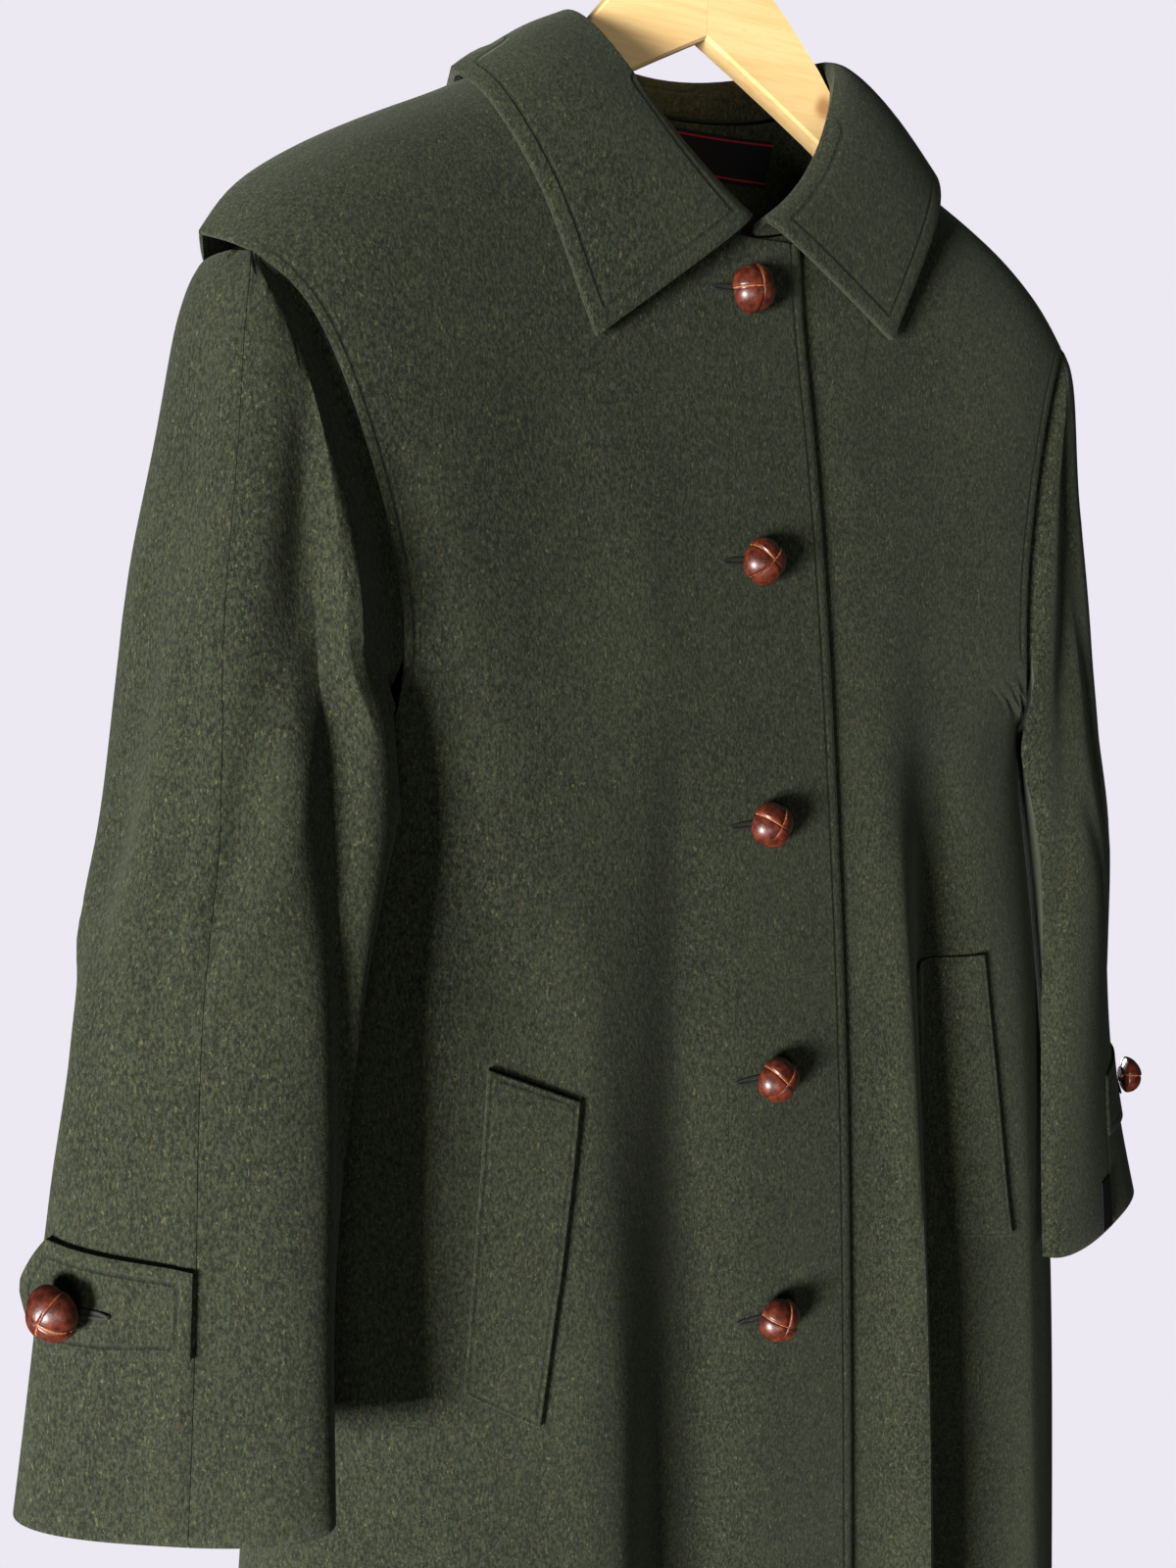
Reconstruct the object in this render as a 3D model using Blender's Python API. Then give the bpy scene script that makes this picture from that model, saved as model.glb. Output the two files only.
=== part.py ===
"""A loden coat hung on a wooden hanger: blind shoulder panels over wide sleeves, five leather buttons.

Metres, +Z up, the coat's front faces -Y and its wearer's right side is at -X.
The origin is the point where a rail or peg holds the hanger's hook.
"""
import math

import bmesh
import bpy
import numpy as np
from mathutils import Matrix, Vector
from mathutils.bvhtree import BVHTree

# Cloth and making
CLOTH = 0.0024          # one layer of milled loden
LEAF = 0.0036           # collar, welts and tabs are two layers, turned and stitched
GAP = 0.0003            # air between two pieces that touch
SEAM = GAP / 2          # what each piece gives up at a seam
LAID = 0.0007           # air under a label
LAID_LEAF = 0.0011      # air under a welt or tab, which is laid on a curved panel

# Body, front view
HEM_Z = -1.25
NECK_X = 0.092          # neck point on the shoulder, from the centre
NECK_Z = -0.118
FRONT_NECK_DROP = 0.094
BACK_NECK_DROP = 0.016
LEVEL_Z = -0.165        # the panels' rows lose the curve of the neck towards this height
TIP_X = 0.265           # end of the shoulder
TIP_Z = -0.230
UNDERARM_Z = -0.487
RIGHT, LEFT = -1, 1     # side of the wearer, and its sign along X

# Shoulder line: how far out, how high
RIDGE = {
    "x": (0.0, 0.05, 0.092, 0.120, 0.144, 0.181, 0.218, 0.248, 0.259, 0.265),
    "z": (-0.060, -0.088, -0.118, -0.137, -0.151, -0.168, -0.187, -0.207, -0.218, -0.230),
}
# Depth of the body in front of and behind the hanger, and the line of its sides
BODY = {
    "z": (-0.10, -0.24, -0.30, -0.38, -0.51, -0.65, -0.79, -1.00, -1.25),
    "front": (0.047, 0.050, 0.057, 0.066, 0.079, 0.092, 0.101, 0.112, 0.124),
    "back": (0.036, 0.046, 0.052, 0.057, 0.056, 0.056, 0.058, 0.064, 0.074),
    "side": (0.006, 0.006, 0.006, 0.004, -0.004, -0.012, -0.018, -0.022, -0.024),
}
# Half width at which the section would close, and the free edge or side seam
WIDTH = {
    "z": (-0.22, -0.40, -0.44, -0.487, -0.55, -0.65, -0.86, -1.06, -1.25),
    "right": (0.300, 0.300, 0.268, 0.236, 0.242, 0.252, 0.274, 0.294, 0.312),
    "left": (0.300, 0.300, 0.272, 0.240, 0.250, 0.265, 0.290, 0.304, 0.316),
}
EDGE = {
    "z": (-0.230, -0.239, -0.250, -0.277, -0.313, -0.360, -0.405, -0.440, -0.466, -0.487),
    "x": (0.265, 0.257, 0.241, 0.226, 0.214, 0.203, 0.198, 0.202, 0.215, 0.236),
}
SQUARENESS = 3.0        # 2 would make the body's section an ellipse

# Front edge of the right front, which laps over the left
LAP = {"z": (-0.21, -0.34, -0.55, -0.79, -1.25), "x": (0.034, 0.042, 0.050, 0.055, 0.062)}
UNDERLAP = -0.026       # the left front ends here, behind the right

# Rows of a body panel, as shares of the way down to the hem, and the steps along each row
LAP_STEPS, NECK_STEPS, SIDE_STEPS = 2, 8, 9
FALLS = (0.0, 0.010, 0.028, 0.052, 0.080, 0.110, 0.142, 0.172, 0.198, 0.2115, 0.225, 0.238,
         0.2505, 0.275, 0.320, 0.380, 0.450, 0.520, 0.600, 0.690, 0.790, 0.895, 1.0)

# Standing folds of the front (face -1) and the back (face 1): where each runs at the underarm
# and at the hem, how wide and proud it is
FOLDS = (
    {"face": -1, "x_top": -0.130, "x_hem": -0.150, "wide": 0.060, "proud": 0.016},
    {"face": -1, "x_top": -0.050, "x_hem": -0.062, "wide": 0.036, "proud": -0.014},
    {"face": -1, "x_top": -0.215, "x_hem": -0.262, "wide": 0.026, "proud": -0.012},
    {"face": -1, "x_top": 0.085, "x_hem": 0.128, "wide": 0.022, "proud": 0.026},
    {"face": -1, "x_top": 0.132, "x_hem": 0.182, "wide": 0.026, "proud": -0.026},
    {"face": -1, "x_top": 0.205, "x_hem": 0.250, "wide": 0.034, "proud": 0.004},
    {"face": 1, "x_top": -0.060, "x_hem": -0.085, "wide": 0.034, "proud": 0.014},
    {"face": 1, "x_top": -0.135, "x_hem": -0.180, "wide": 0.034, "proud": -0.014},
    {"face": 1, "x_top": 0.075, "x_hem": 0.105, "wide": 0.040, "proud": 0.016},
    {"face": 1, "x_top": 0.160, "x_hem": 0.215, "wide": 0.036, "proud": -0.016},
    {"face": 1, "x_top": -0.205, "x_hem": -0.255, "wide": 0.030, "proud": 0.010},
)
FOLD_START_Z = -0.42

# Sleeve rings from the head to the cuff: centre, half width across the flat, half depth, how far
# the flat face turns outwards from the front, where the outer seam runs, how far the front and
# back strips reach round the ring, the place and depth of the long fold that the hanging sleeve
# makes, and how much lower the strips end than they start
UPPER = (-0.237, -0.250, -0.275, -0.310, -0.355, -0.405, -0.440, -0.466, -0.481, -0.4895)
CUFF_Z = {RIGHT: -0.792, LEFT: -0.814}
SLEEVE = {
    RIGHT: {
        "z": UPPER + (-0.560, -0.690, CUFF_Z[RIGHT]),
        "x": (0.2185, 0.218, 0.219, 0.221, 0.229, 0.239, 0.2465, 0.254, 0.2585, 0.2625,
              0.286, 0.3095, 0.3225),
        "y": (-0.008, -0.008, -0.009, -0.011, -0.014, -0.018, -0.023, -0.030, -0.035, -0.038,
              -0.060, -0.076, -0.0835),
        "wide": (0.046, 0.054, 0.0615, 0.067, 0.072, 0.0745, 0.0745, 0.073, 0.071, 0.070,
                 0.066, 0.067, 0.0735),
        "deep": (0.043, 0.0525, 0.060, 0.065, 0.068, 0.068, 0.063, 0.057, 0.053, 0.051,
                 0.038, 0.028, 0.020),
        "turn": (45, 45, 45, 44, 42, 40, 38, 36, 35, 35, 34, 34, 34),
        "seam": (0, 0, 0, 0, 0.5, 1, 1.5, 2, 2, 2.5, 4, 7, 6),
        "front": (26, 36, 46, 54, 64, 75, 82, 96, 106, 180, 180, 180, 180),
        "back": (93, 123, 137, 148, 162, 170, 172, 172, 174, 180, 180, 180, 180),
        "fold_at": (6, 16, 20, 24, 28, 33, 38, 43, 46, 48, 70, 90, 100),
        "fold": (0.0, 0.001, 0.004, 0.008, 0.012, 0.015, 0.015, 0.013, 0.012, 0.012,
                 0.008, 0.002, 0.0),
        "drop": (0.016, 0.015, 0.010, 0.005, 0.0, 0.0, 0.0, 0.0, 0.0, 0.0, 0.0, 0.0, 0.0),
    },
    LEFT: {
        "z": UPPER + (-0.570, -0.710, CUFF_Z[LEFT]),
        "x": (0.2185, 0.2185, 0.221, 0.223, 0.229, 0.237, 0.243, 0.249, 0.253, 0.257,
              0.282, 0.284, 0.285),
        "y": (-0.008, -0.008, -0.008, -0.008, -0.009, -0.010, -0.013, -0.017, -0.020, -0.021,
              -0.030, -0.049, -0.077),
        "wide": (0.046, 0.055, 0.063, 0.069, 0.072, 0.073, 0.073, 0.073, 0.072, 0.071,
                 0.063, 0.066, 0.070),
        "deep": (0.042, 0.048, 0.052, 0.054, 0.055, 0.056, 0.054, 0.051, 0.048, 0.046,
                 0.037, 0.029, 0.020),
        "turn": (45, 45, 45, 44, 43, 42, 41, 40, 39, 39, 36, 28, 18),
        "seam": (0, 0, 0, 0, 0, 0, 0, 0, 0, 0, 0, 0, 0),
        "front": (24, 33, 43, 52, 65, 78, 84, 96, 106, 180, 180, 180, 180),
        "back": (93, 128, 145, 159, 170, 172, 172, 172, 174, 180, 180, 180, 180),
        "fold_at": (5, 14, 18, 22, 27, 33, 38, 43, 46, 48, 70, 90, 100),
        "fold": (0.0, 0.001, 0.003, 0.006, 0.009, 0.009, 0.008, 0.006, 0.005, 0.005,
                 0.004, 0.002, 0.0),
        "drop": (0.016, 0.015, 0.010, 0.005, 0.0, 0.0, 0.0, 0.0, 0.0, 0.0, 0.0, 0.0, 0.0),
    },
}
FLATNESS = 2.6          # 2 would make the sleeve's ring an ellipse
TUCK = 0.012            # the sleeve's head runs this far under the shoulder panel
UNDER = 0.0026          # air between the sleeve's head and the panel over it

# Rows of a sleeve: the head's heights, then shares of the way from the underarm to the cuff
SLEEVE_STEPS = 14
HEAD_ROWS = (-0.243, -0.249, -0.258, -0.272, -0.295, -0.325, -0.362, -0.398, -0.422, -0.438,
             -0.452, -0.466, -0.480)
ARM_ROWS = (0.0, 0.10, 0.22, 0.37, 0.54, 0.70, 0.85, 1.0)
HEAD_END = -0.438
ARM_TOP = -0.492

# Collar: a ring of stations from the front end round to the centre back. It sits a little askew:
# the tilt lifts the wearer's left and lowers the right.
COLLAR = {
    "turn": (3, 14, 30, 52, 76, 96, 122, 150, 180),
    "roll_x": (0.006, 0.024, 0.044, 0.064, 0.080, 0.086, 0.074, 0.044, 0.0),
    "roll_y": (-0.0570, -0.0545, -0.0480, -0.0350, -0.0170, 0.000, 0.0240, 0.0420, 0.0480),
    "roll_z": (-0.2030, -0.1900, -0.1690, -0.1390, -0.1140, -0.104, -0.1040, -0.1090, -0.1120),
    "roll_tilt": (0.0, 0.0, 0.001, 0.003, 0.004, 0.004, 0.003, 0.001, 0.0),
    "edge_x": (0.0935, 0.104, 0.118, 0.133, 0.143, 0.146, 0.126, 0.070, 0.0),
    "edge_y": (-0.0550, -0.0550, -0.0535, -0.0440, -0.0240, 0.000, 0.0340, 0.0500, 0.0530),
    "edge_z": (-0.2620, -0.2390, -0.2080, -0.1790, -0.1560, -0.1470, -0.1550, -0.1660, -0.1690),
    "edge_tilt": (0.0065, 0.006, 0.004, 0.002, 0.0, 0.0, 0.0, 0.0, 0.0),
    "belly": (0.002, 0.004, 0.006, 0.008, 0.008, 0.008, 0.008, 0.008, 0.008),
}
COLLAR_SHIFT = 0.005    # the neck hangs a little towards the wearer's left
STAND_SHARES = (0.0, 0.45, 0.8, 1.0)
FALL_SHARES = (0.0, 0.07, 0.2, 0.45, 0.72, 1.0)
COLLAR_TURNS = (3, 11.25, 22.5, 33.75, 45, 56.25, 67.5, 78.75, 90, 112.5, 135, 157.5, 180)

# Buttons: domes woven from four leather strips
BUTTON_R = 0.0125
BUTTON_RISE = 0.0095
BUTTON_FOOT = 0.0030
BUTTON_SIDES = 16
BUTTON_Z = (-0.238, -0.375, -0.512, -0.650, -0.787)

# Welts of the slanted pockets: outer top, inner top, inner low and outer low corners, as x and z
WELTS = {
    RIGHT: ((-0.1668, -0.614), (-0.1226, -0.636), (-0.1497, -0.799), (-0.1856, -0.774)),
    LEFT: ((0.171, -0.611), (0.117, -0.612), (0.1560, -0.791), (0.196, -0.797)),
}

# Sleeve tabs: sewn in the outer seam, buttoned at the back fold, which the point stands clear of
TAB_Z = {RIGHT: -0.685, LEFT: -0.736}
TAB_FALL = -0.002       # how much lower the point hangs than the seam end
TAB_HALF = {"share": (0.0, 0.6, 0.83, 1.0), "half": (0.0195, 0.0230, 0.0235, 0.0035)}
TAB_SHARES = (0.002, 0.14, 0.28, 0.42, 0.56, 0.70, 0.83, 0.92, 1.0)
TAB_LONG = 0.086
TAB_BEND = 0.066        # the tab follows the sleeve for this long
TAB_BUTTON = 0.056

# Labels without any writing
NECK_LABEL = {"x": 0.030, "z": -0.1495, "wide": 0.088, "high": 0.024}
CUFF_LABEL = {"start": 0.003, "wide": 0.015, "top": -0.780, "low": -0.811}
WOVEN = 0.0008

# Hanger: two flat boards mitred in the middle, and a wire hook
BOARD_FRONT = -0.0095
BOARD_BACK = 0.0035
BOARD_EDGE = 0.0015     # chamfer of the long edges
ARM = {
    "x": (0.0, 0.025, 0.050, 0.075, 0.092, 0.120, 0.144, 0.181, 0.205),
    "right": (-0.055, -0.066, -0.088, -0.116, -0.1330, -0.1500, -0.1630, -0.1790, -0.192),
    "left": (-0.055, -0.066, -0.085, -0.1085, -0.1280, -0.1480, -0.1620, -0.1790, -0.192),
    "low": (-0.107, -0.1195, -0.1325, -0.1460, -0.1560, -0.1700, -0.1810, -0.1960, -0.204),
}
WIRE_R = 0.0017
WIRE_SIDES = 10
HOOK_R = 0.021          # inside radius of the hook

LODEN = (0.040, 0.048, 0.038, 1)
LEATHER = (0.160, 0.030, 0.012, 1)
WOOD = (0.800, 0.560, 0.280, 1)
STEEL = (0.620, 0.610, 0.590, 1)
LABEL = (0.012, 0.012, 0.014, 1)


def clear_scene():
    for item in list(bpy.data.objects):
        bpy.data.objects.remove(item)


def material(name, colour, roughness, metallic=0.0):
    finish = bpy.data.materials.new(name)
    finish.use_nodes = True
    shader = finish.node_tree.nodes["Principled BSDF"]
    shader.inputs["Base Color"].default_value = colour
    shader.inputs["Roughness"].default_value = roughness
    shader.inputs["Metallic"].default_value = metallic
    return finish


def along(table, key, column, place):
    """Reads a table's column by a smooth curve through its rows, with no overshoot."""
    xs = np.asarray(table[key], float)
    ys = np.asarray(table[column], float)
    if xs[0] > xs[-1]:
        xs, ys = xs[::-1], ys[::-1]
    steps = np.diff(ys) / np.diff(xs)
    slopes = np.zeros(len(xs))
    same = steps[:-1] * steps[1:] > 0
    slopes[1:-1][same] = 2 * steps[:-1][same] * steps[1:][same] / (steps[:-1][same] + steps[1:][same])
    slopes[0], slopes[-1] = steps[0], steps[-1]
    place = np.clip(np.asarray(place, float), xs[0], xs[-1])
    i = np.clip(np.searchsorted(xs, place) - 1, 0, len(xs) - 2)
    width = xs[i + 1] - xs[i]
    t = (place - xs[i]) / width
    return ((1 + 2 * t) * (1 - t) ** 2 * ys[i] + t * (1 - t) ** 2 * width * slopes[i]
            + t * t * (3 - 2 * t) * ys[i + 1] + t * t * (t - 1) * width * slopes[i + 1])


def ramp(value, low, high):
    t = np.clip((value - low) / (high - low), 0.0, 1.0)
    return t * t * (3 - 2 * t)


def ridge_z(x):
    return along(RIDGE, "x", "z", np.abs(x))


def half_width(z, side):
    return along(WIDTH, "z", "right" if side == RIGHT else "left", z)


def edge_x(z, side):
    """The free edge of the shoulder panel above the underarm, the side seam below it."""
    armhole = along(EDGE, "z", "x", z)
    grow = half_width(UNDERARM_Z, side) - EDGE["x"][-1]
    armhole = armhole + grow * ramp(-z, 0.405, -UNDERARM_Z)
    return np.where(z < UNDERARM_Z, half_width(z, side), armhole)


def armhole_x(z, side):
    """The panel's free edge as its own rows cut it, in straight lines from row to row."""
    rows = TIP_Z + (HEM_Z - TIP_Z) * np.array(FALLS)
    return np.interp(-z, -rows, edge_x(rows, side))


def folds(x, z, face):
    """Height of the standing folds; they grow from the chest to the hem."""
    total = np.zeros(np.broadcast(x, z).shape)
    down = (FOLD_START_Z - z) / (FOLD_START_Z - HEM_Z)
    for fold in FOLDS:
        if fold["face"] != face:
            continue
        middle = fold["x_top"] + (fold["x_hem"] - fold["x_top"]) * down
        strength = np.clip(down, 0, 1) ** 0.8
        total = total + fold["proud"] * strength * np.exp(-((x - middle) / fold["wide"]) ** 2)
    return total


def body_y(x, z, face, side):
    """Front (face -1) or back (face 1) of the body over a point of the front view."""
    spread = np.abs(x)
    rounding = 0.15 - 0.10 * ramp(spread, 0.06, 0.21) if face < 0 else 0.08 - 0.03 * ramp(spread, 0.06, 0.21)
    t = np.clip((ridge_z(x) - z) / rounding, 0.0, 1.0)
    crown = np.sqrt(t * (2 - t))
    depth = along(BODY, "z", "front" if face < 0 else "back", z)
    depth = depth + 0.012 * ramp(spread, 0.10, 0.22) * ramp(-z, 0.20, 0.26) * (1 - ramp(-z, 0.42, 0.52))
    depth = depth + folds(x, z, face)
    middle = along(BODY, "z", "side", z)
    share = np.clip(spread / half_width(z, side), 0.0, 1.0)
    round_side = (1 - share ** SQUARENESS) ** (1 / SQUARENESS)
    reach = depth * crown + face * -middle
    return middle + face * reach * round_side


def split_curve(points, count):
    """Spreads count steps evenly by length along a dense curve."""
    lengths = np.concatenate([[0.0], np.cumsum(np.linalg.norm(np.diff(points, axis=0), axis=1))])
    wanted = np.linspace(0.0, lengths[-1], count + 1)
    return np.stack([np.interp(wanted, lengths, points[:, k]) for k in range(3)], axis=1)


def body_row(fall, face, side, start):
    """One row of a body panel, from the centre (or its lap) to the armhole edge or side seam."""
    dense = np.linspace(0.0, 1.0, 120)
    outer_z = TIP_Z + (HEM_Z - TIP_Z) * fall
    outer_x = float(edge_x(outer_z, side))
    neck_share = NECK_X + (outer_x - TIP_X) * 0.36 * float(ramp(fall, 0.02, 0.20))
    parts = []
    if start is not None:
        lap_x = float(start(NECK_Z - FRONT_NECK_DROP + (HEM_Z - NECK_Z + FRONT_NECK_DROP) * fall))
        lap = np.stack([lap_x * (1 - dense), dense * 0 - 1], axis=1)
        parts.append((lap, LAP_STEPS))
    parts.append((np.stack([neck_share * np.sin(dense * math.pi / 2), dense * 0], axis=1), NECK_STEPS))
    way = 1 - (1 - dense) ** 1.5
    parts.append((np.stack([neck_share + (outer_x - neck_share) * way, dense * 0 + 1], axis=1), SIDE_STEPS))
    row = []
    for part, steps in parts:
        x = part[:, 0]
        drop = FRONT_NECK_DROP if face < 0 else BACK_NECK_DROP
        top_x = x * NECK_X / neck_share
        neck = NECK_Z - drop * np.sqrt(np.clip(1 - (top_x / NECK_X) ** 2, 0, 1))
        span = (x - neck_share) / (outer_x - neck_share)
        shoulder = ridge_z(NECK_X + (TIP_X - NECK_X) * span)
        straight = NECK_Z + (TIP_Z - NECK_Z) * span
        shoulder = shoulder + (straight - shoulder) * float(ramp(fall, 0.03, 0.15))
        level = float(ramp(fall, 0.02, 0.25))
        neck = neck + (LEVEL_Z - neck) * level
        shoulder = shoulder + (LEVEL_Z - NECK_Z) * (1 - span) ** 2 * level
        lap_top = NECK_Z - drop + (LEVEL_Z - NECK_Z + drop) * level
        top = np.where(part[:, 1] > 0, shoulder, np.where(part[:, 1] < 0, lap_top, neck))
        z = top + (HEM_Z - top) * fall
        y = body_y(side * x, z, face, side)
        points = split_curve(np.stack([side * x, y, z], axis=1), steps)
        row.append(points if not row else points[1:])
    return np.concatenate(row)


def normals(grid, left=None, right=None, top=None):
    """Outward normals of a grid of points; neighbours across a seam make both pieces agree."""
    first = grid[:, :1] * 2 - grid[:, 1:2] if left is None else left[:, None]
    last = grid[:, -1:] * 2 - grid[:, -2:-1] if right is None else right[:, None]
    wide = np.concatenate([first, grid, last], axis=1)
    steps = wide[:, 1:] - wide[:, :-1]
    steps = steps / np.linalg.norm(steps, axis=2, keepdims=True)
    across = steps[:, 1:] + steps[:, :-1]
    above = grid[:1] * 2 - grid[1:2] if top is None else top[None]
    below = grid[-1:] * 2 - grid[-2:-1]
    tall = np.concatenate([above, grid, below], axis=0)
    down = tall[2:] - tall[:-2]
    normal = np.cross(across, down)
    return normal / np.linalg.norm(normal, axis=2, keepdims=True)


def pull_in(grid, inner, edge):
    """Draws one edge of a piece back from its seam by its share of the gap."""
    for sheet in (grid, inner):
        near, far = {"first_col": (sheet[:, 0], sheet[:, 1]), "last_col": (sheet[:, -1], sheet[:, -2]),
                     "first_row": (sheet[0], sheet[1]), "last_row": (sheet[-1], sheet[-2])}[edge]
        way = far - near
        near += SEAM * way / np.linalg.norm(way, axis=1, keepdims=True)


def wall(name, outer, inner, finish):
    """A closed cloth wall between two matching grids of points."""
    rows, cols = outer.shape[:2]
    mesh = bmesh.new()
    bmesh.ops.create_grid(mesh, x_segments=cols - 1, y_segments=rows - 1, size=0.5)
    place = {vert: (round((vert.co.y + 0.5) * (rows - 1)), round((vert.co.x + 0.5) * (cols - 1)))
             for vert in mesh.verts}
    rim = [edge for edge in mesh.edges if edge.is_boundary]
    copy = bmesh.ops.duplicate(mesh, geom=list(mesh.verts) + list(mesh.edges) + list(mesh.faces))
    twin = {old: new for old, new in copy["vert_map"].items() if old in place}
    copies = [face for face in copy["geom"] if isinstance(face, bmesh.types.BMFace)]
    bmesh.ops.reverse_faces(mesh, faces=copies)
    for edge in rim:
        face = edge.link_faces[0]
        loop = next(loop for loop in face.loops if loop.edge == edge)
        one, two = loop.vert, loop.link_loop_next.vert
        mesh.faces.new((two, one, twin[one], twin[two]))
    for vert, (row, col) in place.items():
        vert.co = outer[row, col]
        twin[vert].co = inner[row, col]
    return finish_mesh(name, mesh, finish)


def finish_mesh(name, mesh, finish, smooth=True):
    bmesh.ops.recalc_face_normals(mesh, faces=mesh.faces)
    data = bpy.data.meshes.new(name)
    mesh.to_mesh(data)
    mesh.free()
    data.materials.append(finish)
    if smooth:
        data.shade_smooth()
        data.set_sharp_from_angle(angle=math.radians(40))
    item = bpy.data.objects.new(name, data)
    bpy.context.collection.objects.link(item)
    return item


def body_normals(grid, face, side):
    """Outward normals of a body panel, from the slope of the body's own surface."""
    z = np.minimum(grid[:, :, 2], ridge_z(grid[:, :, 0]) - 0.0012)
    x = side * np.minimum(side * grid[:, :, 0], 0.992 * half_width(z, side))
    step = 0.0004
    slope_x = (body_y(x + step, z, face, side) - body_y(x - step, z, face, side)) / (2 * step)
    slope_z = (body_y(x, z + step, face, side) - body_y(x, z - step, face, side)) / (2 * step)
    normal = np.stack([-slope_x, np.ones(x.shape), -slope_z], axis=2) * face
    return normal / np.linalg.norm(normal, axis=2, keepdims=True)


def share_normals(one, two):
    """Gives two pieces the same normals along the seam between them."""
    both = one + two
    both /= np.linalg.norm(both, axis=1, keepdims=True)
    one[:] = both
    two[:] = both


def lap_edge(z):
    return -along(LAP, "z", "x", z)


def body_panels(finish):
    """Two fronts and a back, each with half of the shoulder and its free edge over the sleeve."""
    sheets = {}
    for side in (RIGHT, LEFT):
        lap = lap_edge if side == RIGHT else (lambda z: UNDERLAP)
        front = np.array([body_row(fall, -1, side, lap) for fall in FALLS])
        back = np.array([body_row(fall, 1, side, None) for fall in FALLS])
        under = np.array(FALLS) * (HEM_Z - TIP_Z) + TIP_Z < UNDERARM_Z + 0.001
        sheets[side] = (front, back, under)
    backs, made = [], {}
    for side, (front, back, under) in sheets.items():
        shift = front.shape[1] - back.shape[1]
        out = body_normals(front, -1, side)
        out_back = body_normals(back, 1, side)
        share_normals(out[0, shift + NECK_STEPS:], out_back[0, NECK_STEPS:])
        first_under = int(np.argmax(under))
        share_normals(out[first_under:, -1], out_back[first_under:, -1])
        if side == LEFT:
            x = front[:, :, 0]
            hidden = 1 - ramp(x + lap_edge(front[:, :, 2]), 0.006, 0.030)
            front = front - out * (hidden * (CLOTH + 2 * GAP))[:, :, None]
        inner = front - out * CLOTH
        back_inner = back - out_back * CLOTH
        trim_seams(front, inner, under, shift + NECK_STEPS)
        trim_seams(back, back_inner, under, NECK_STEPS)
        made[side] = wall("front_right" if side == RIGHT else "front_left", front, inner, finish)
        backs.append((back, back_inner))
    outer = np.concatenate([backs[0][0][:, ::-1], backs[1][0][:, 1:]], axis=1)
    inner = np.concatenate([backs[0][1][:, ::-1], backs[1][1][:, 1:]], axis=1)
    made["back"] = wall("back", outer, inner, finish)
    return made


def trim_seams(outer, inner, under, first):
    """Opens the gap at the side seam and along the shoulder seam."""
    for sheet in (outer, inner):
        way = sheet[under, -2] - sheet[under, -1]
        sheet[under, -1] += SEAM * way / np.linalg.norm(way, axis=1, keepdims=True)
        way = sheet[1, first:] - sheet[0, first:]
        sheet[0, first:] += SEAM * way / np.linalg.norm(way, axis=1, keepdims=True)


def sleeve_column(column, z, side):
    return float(along(SLEEVE[side], "z", column, z))


def power(value, exponent):
    return math.copysign(abs(value) ** exponent, value)


def sleeve_point(z, turn, side):
    """A point of the sleeve's ring: turn 0 is the outer seam, 90 the front fold, 180 the under seam."""
    lean = math.radians(sleeve_column("turn", z, side))
    centre = np.array([sleeve_column("x", z, side), sleeve_column("y", z, side)])
    out = np.array([math.sin(lean), -math.cos(lean)])
    ahead = np.array([-math.cos(lean), -math.sin(lean)])
    wide = sleeve_column("wide", z, side)
    deep = sleeve_column("deep", z, side)
    exponent = 2 / (2 + (FLATNESS - 2) * float(ramp(-z, 0.50, 0.75)))
    angle = math.radians(turn)
    lift, reach = power(math.cos(angle), exponent), power(math.sin(angle), exponent)
    ring = centre + out * deep * lift + ahead * wide * reach
    normal = out * math.cos(angle) / deep + ahead * math.sin(angle) / wide
    normal = normal / np.linalg.norm(normal)
    valley = math.exp(-((abs(turn) - sleeve_column("fold_at", z, side)) / 11) ** 2)
    depth = sleeve_column("fold", z, side) * (1.0 if turn > 0 else 0.6)
    ring = ring - normal * depth * valley
    return np.array([ring[0], ring[1], z])


def armhole_end(z, face, side):
    """Where a strip ends above the underarm: beneath the shoulder panel, lower down at its edge."""
    free = float(ramp(-z, 0.405, 0.430))
    x = float(armhole_x(z, side)) - TUCK * (1 - free) + 0.005 * free
    y = float(body_y(side * x, z, face, side)) - face * (CLOTH + UNDER)
    return np.array([x, y, z])


def clear_of_body(point, side, gap):
    """Pushes a point of the sleeve out of the body's section, away from the body's middle."""
    x, y, z = point
    middle = float(along(BODY, "z", "side", z))
    face = -1 if y < middle else 1
    wide = float(half_width(z, side))
    probe = min(x, 0.93 * wide)
    deep = abs(float(body_y(side * probe, z, face, side)) - middle)
    deep = deep / (1 - (probe / wide) ** SQUARENESS) ** (1 / SQUARENESS)
    size = (x / (wide + gap)) ** SQUARENESS + (abs(y - middle) / (deep + gap)) ** SQUARENESS
    grow = max(1.0, size ** (-1 / SQUARENESS))
    return np.array([x * grow, middle + (y - middle) * grow, z])


def sleeve_row(z, face, side):
    """One row of a sleeve strip; at the underarm it changes from the open head to the closed arm."""
    if HEAD_END > z > ARM_TOP:
        down = (HEAD_END - z) / (HEAD_END - ARM_TOP)
        row = ring_row(HEAD_END, face, side) * (1 - down) + ring_row(ARM_TOP, face, side) * down
        clear = ramp(np.linspace(0, 1, SLEEVE_STEPS + 1), 0.78, 0.90) * math.sin(math.pi * down) * 0.006
        return row + clear[:, None] * (side, 0.2 * face, 0)
    return ring_row(z, face, side)


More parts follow.
